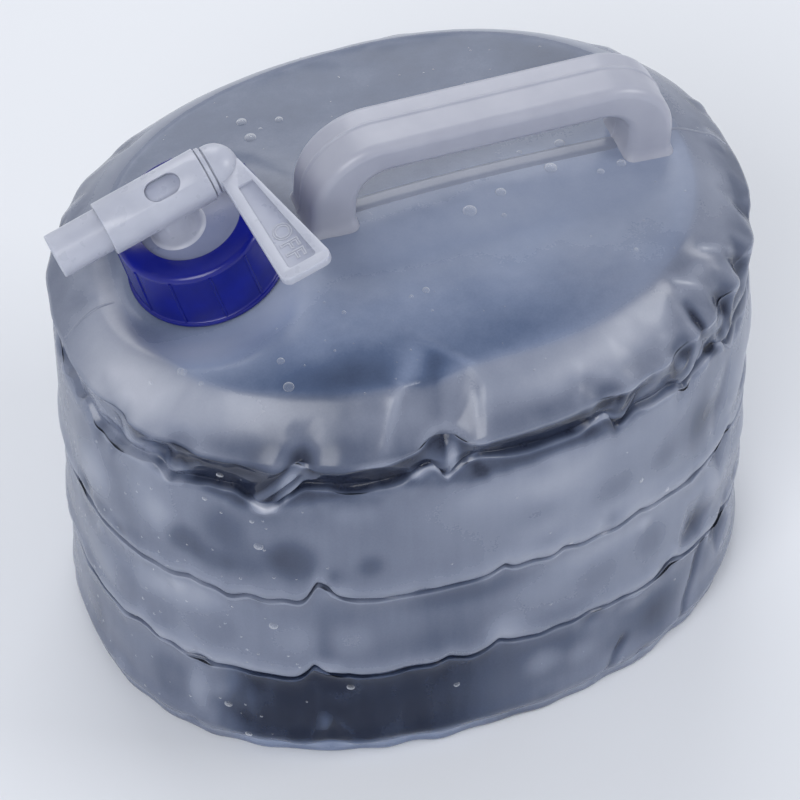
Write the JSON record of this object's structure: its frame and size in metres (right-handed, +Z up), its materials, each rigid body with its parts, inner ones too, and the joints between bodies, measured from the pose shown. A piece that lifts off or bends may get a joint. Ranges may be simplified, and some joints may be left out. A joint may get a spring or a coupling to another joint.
{
  "type": "collapsible water carrier",
  "caption": "Collapsible oval water carrier: folding bellows film body, moulded carry handle and a screw-on neck cap that holds a rotary lever tap.",
  "frame": {"origin": "middle of the flat base, on the surface the carrier stands on", "axes": "+X along the body's length, away from the tap; +Y across it, away from the side that the shut lever points to; +Z up"},
  "size_m": [0.2673, 0.2054, 0.2449],
  "materials": {
    "film": "blow-moulded low-density polyethylene film, milky and translucent, glossy",
    "handle_plastic": "moulded polyethylene, translucent white, satin gloss",
    "cap_plastic": "injection-moulded polypropylene, dark blue, glossy",
    "tap_plastic": "injection-moulded polypropylene, white and slightly translucent, glossy",
    "gasket_silicone": "moulded silicone, matt",
    "ring_rubber": "moulded nitrile rubber, matt black"
  },
  "bodies": {
    "base": {"base_panel": "film", "tier_4": "film"},
    "waist_3": {"tier_3": "film"},
    "waist_2": {"tier_2": "film"},
    "waist_1": {"tier_1": "film"},
    "top": {"top_panel": "film", "handle": "handle_plastic"},
    "seal": {"neck_gasket": "gasket_silicone"},
    "cap": {"cap_ring": "cap_plastic"},
    "tap": {"tap_body": "tap_plastic"},
    "spindle": {"tap_spindle": "tap_plastic", "front_o_ring": "ring_rubber", "back_o_ring": "ring_rubber"}
  },
  "joints": [
    {"name": "fold_tier_4", "type": "slide", "parent": "base", "child": "waist_3", "axis": [0, 0, 1], "range_m": [-0.035, 0], "deforming": ["tier_4"]},
    {"name": "fold_tier_3", "type": "slide", "parent": "waist_3", "child": "waist_2", "axis": [0, 0, 1], "range_m": [-0.043, 0], "deforming": ["tier_3"]},
    {"name": "fold_tier_2", "type": "slide", "parent": "waist_2", "child": "waist_1", "axis": [0, 0, 1], "range_m": [-0.051, 0], "deforming": ["tier_2"]},
    {"name": "fold_tier_1", "type": "slide", "parent": "waist_1", "child": "top", "axis": [0, 0, 1], "range_m": [-0.012, 0], "deforming": ["tier_1"]},
    {"name": "cap_lift", "type": "slide", "parent": "top", "child": "seal", "axis": [-0.2588, -0.0539, 0.9644], "range_m": [0, 0.0061]},
    {"name": "cap_turn", "type": "hinge", "parent": "seal", "child": "cap", "pos_m": [-0.0745, 0, 0.1897], "axis": [-0.2588, -0.0539, 0.9644], "range_deg": [0, 540]},
    {"name": "tap_swivel", "type": "hinge", "parent": "seal", "child": "tap", "pos_m": [-0.0745, 0, 0.1897], "axis": [-0.2588, -0.0539, 0.9644], "continuous": true},
    {"name": "lever_turn", "type": "hinge", "parent": "tap", "child": "spindle", "pos_m": [-0.08581, -0.00236, 0.23184], "axis": [-0.9616, -0.0796, -0.2625], "range_deg": [0, 90]}
  ],
  "couplings": [
    {"joint": "fold_tier_4", "follows": "fold_tier_2", "ratio": 0.6862},
    {"joint": "fold_tier_3", "follows": "fold_tier_2", "ratio": 0.8431},
    {"joint": "fold_tier_1", "follows": "fold_tier_2", "ratio": 0.2352},
    {"joint": "cap_lift", "follows": "cap_turn", "m_per_rad": 0.00063662}
  ]
}
